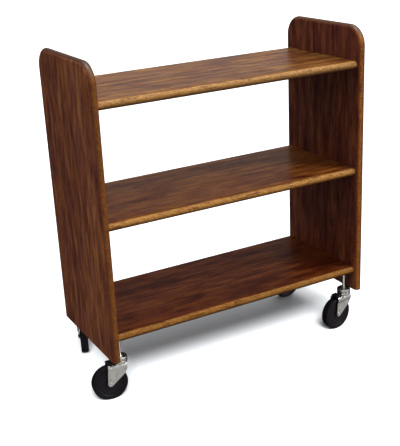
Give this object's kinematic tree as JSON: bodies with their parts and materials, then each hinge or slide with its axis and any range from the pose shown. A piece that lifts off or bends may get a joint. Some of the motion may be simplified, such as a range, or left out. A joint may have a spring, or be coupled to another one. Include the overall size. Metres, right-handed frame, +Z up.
{
  "type": "book cart",
  "caption": "Wooden book cart with flat shelves between rounded end panels, on swivel stem casters with foot brakes.",
  "frame": {"origin": "bottom centre of the bounding box in the rest pose, at floor level; the casters stand swung as in the picture, so the middle of the shelves is 26 mm to +X and 20 mm to -Y of it", "axes": "+Z up; +X along the shelves, from the left end panel to the right one; the front faces -Y"},
  "size_m": [0.9672, 0.4344, 1.0165],
  "materials": {
    "panel_wood": "dark brown stain, satin lacquer",
    "shelf_wood": "reddish brown stain, satin lacquer",
    "zinc": "bright zinc plate",
    "chrome": "polished",
    "brass": "satin",
    "rubber": "matte black",
    "core": "matte black",
    "pedal": "satin black"
  },
  "bodies": {
    "cart": {"left_end_panel": "panel_wood", "right_end_panel": "panel_wood", "bottom_shelf": "shelf_wood", "middle_shelf": "shelf_wood", "top_shelf": "shelf_wood", "front_left_stem_insert": "brass", "front_left_stem": "chrome", "front_left_upper_raceway": "zinc", "front_right_stem_insert": "brass", "front_right_stem": "chrome", "front_right_upper_raceway": "zinc", "rear_left_stem_insert": "brass", "rear_left_stem": "chrome", "rear_left_upper_raceway": "zinc", "rear_right_stem_insert": "brass", "rear_right_stem": "chrome", "rear_right_upper_raceway": "zinc"},
    "front_left_swivel": {"front_left_fork": "zinc", "front_left_ball_cage": "chrome", "front_left_brake_spring": "zinc", "front_left_axle_bolt": "zinc", "front_left_axle_nut": "zinc", "front_left_axle_sleeve": "zinc", "front_left_brake_pin": "zinc"},
    "front_left_wheel": {"front_left_wheel_core": "core", "front_left_tyre": "rubber"},
    "front_left_brake": {"front_left_brake_pedal": "pedal"},
    "front_right_swivel": {"front_right_fork": "zinc", "front_right_ball_cage": "chrome", "front_right_brake_spring": "zinc", "front_right_axle_bolt": "zinc", "front_right_axle_nut": "zinc", "front_right_axle_sleeve": "zinc", "front_right_brake_pin": "zinc"},
    "front_right_wheel": {"front_right_wheel_core": "core", "front_right_tyre": "rubber"},
    "front_right_brake": {"front_right_brake_pedal": "pedal"},
    "rear_left_swivel": {"rear_left_fork": "zinc", "rear_left_ball_cage": "chrome", "rear_left_brake_spring": "zinc", "rear_left_axle_bolt": "zinc", "rear_left_axle_nut": "zinc", "rear_left_axle_sleeve": "zinc", "rear_left_brake_pin": "zinc"},
    "rear_left_wheel": {"rear_left_wheel_core": "core", "rear_left_tyre": "rubber"},
    "rear_left_brake": {"rear_left_brake_pedal": "pedal"},
    "rear_right_swivel": {"rear_right_fork": "zinc", "rear_right_ball_cage": "chrome", "rear_right_brake_spring": "zinc", "rear_right_axle_bolt": "zinc", "rear_right_axle_nut": "zinc", "rear_right_axle_sleeve": "zinc", "rear_right_brake_pin": "zinc"},
    "rear_right_wheel": {"rear_right_wheel_core": "core", "rear_right_tyre": "rubber"},
    "rear_right_brake": {"rear_right_brake_pedal": "pedal"}
  },
  "joints": [
    {"name": "front_left_swivel_turn", "type": "hinge", "parent": "cart", "child": "front_left_swivel", "pos_m": [-0.39176, -0.16839, 0.12593], "axis": [0, 0, 1], "continuous": true},
    {"name": "front_left_wheel_spin", "type": "hinge", "parent": "front_left_swivel", "child": "front_left_wheel", "pos_m": [-0.4283, -0.1626, 0.05453], "axis": [-0.1564, -0.9877, 0], "continuous": true},
    {"name": "front_left_brake_press", "type": "hinge", "parent": "front_left_swivel", "child": "front_left_brake", "pos_m": [-0.41497, -0.16471, 0.11213], "axis": [-0.1564, -0.9877, 0], "range_deg": [0, 8]},
    {"name": "front_right_swivel_turn", "type": "hinge", "parent": "cart", "child": "front_right_swivel", "pos_m": [0.44464, -0.16839, 0.12593], "axis": [0, 0, 1], "continuous": true},
    {"name": "front_right_wheel_spin", "type": "hinge", "parent": "front_right_swivel", "child": "front_right_wheel", "pos_m": [0.408, -0.17348, 0.05453], "axis": [0.1378, -0.9905, 0], "continuous": true},
    {"name": "front_right_brake_press", "type": "hinge", "parent": "front_right_swivel", "child": "front_right_brake", "pos_m": [0.42137, -0.17162, 0.11213], "axis": [0.1378, -0.9905, 0], "range_deg": [0, 8]},
    {"name": "rear_left_swivel_turn", "type": "hinge", "parent": "cart", "child": "rear_left_swivel", "pos_m": [-0.39176, 0.12771, 0.12593], "axis": [0, 0, 1], "continuous": true},
    {"name": "rear_left_wheel_spin", "type": "hinge", "parent": "rear_left_swivel", "child": "rear_left_wheel", "pos_m": [-0.37944, 0.1626, 0.05453], "axis": [-0.943, 0.3328, 0], "continuous": true},
    {"name": "rear_left_brake_press", "type": "hinge", "parent": "rear_left_swivel", "child": "rear_left_brake", "pos_m": [-0.38393, 0.14987, 0.11213], "axis": [-0.943, 0.3328, 0], "range_deg": [0, 8]},
    {"name": "rear_right_swivel_turn", "type": "hinge", "parent": "cart", "child": "rear_right_swivel", "pos_m": [0.44464, 0.12771, 0.12593], "axis": [0, 0, 1], "continuous": true},
    {"name": "rear_right_wheel_spin", "type": "hinge", "parent": "rear_right_swivel", "child": "rear_right_wheel", "pos_m": [0.40773, 0.13027, 0.05453], "axis": [-0.0691, -0.9976, 0], "continuous": true},
    {"name": "rear_right_brake_press", "type": "hinge", "parent": "rear_right_swivel", "child": "rear_right_brake", "pos_m": [0.4212, 0.12934, 0.11213], "axis": [-0.0691, -0.9976, 0], "range_deg": [0, 8]}
  ]
}
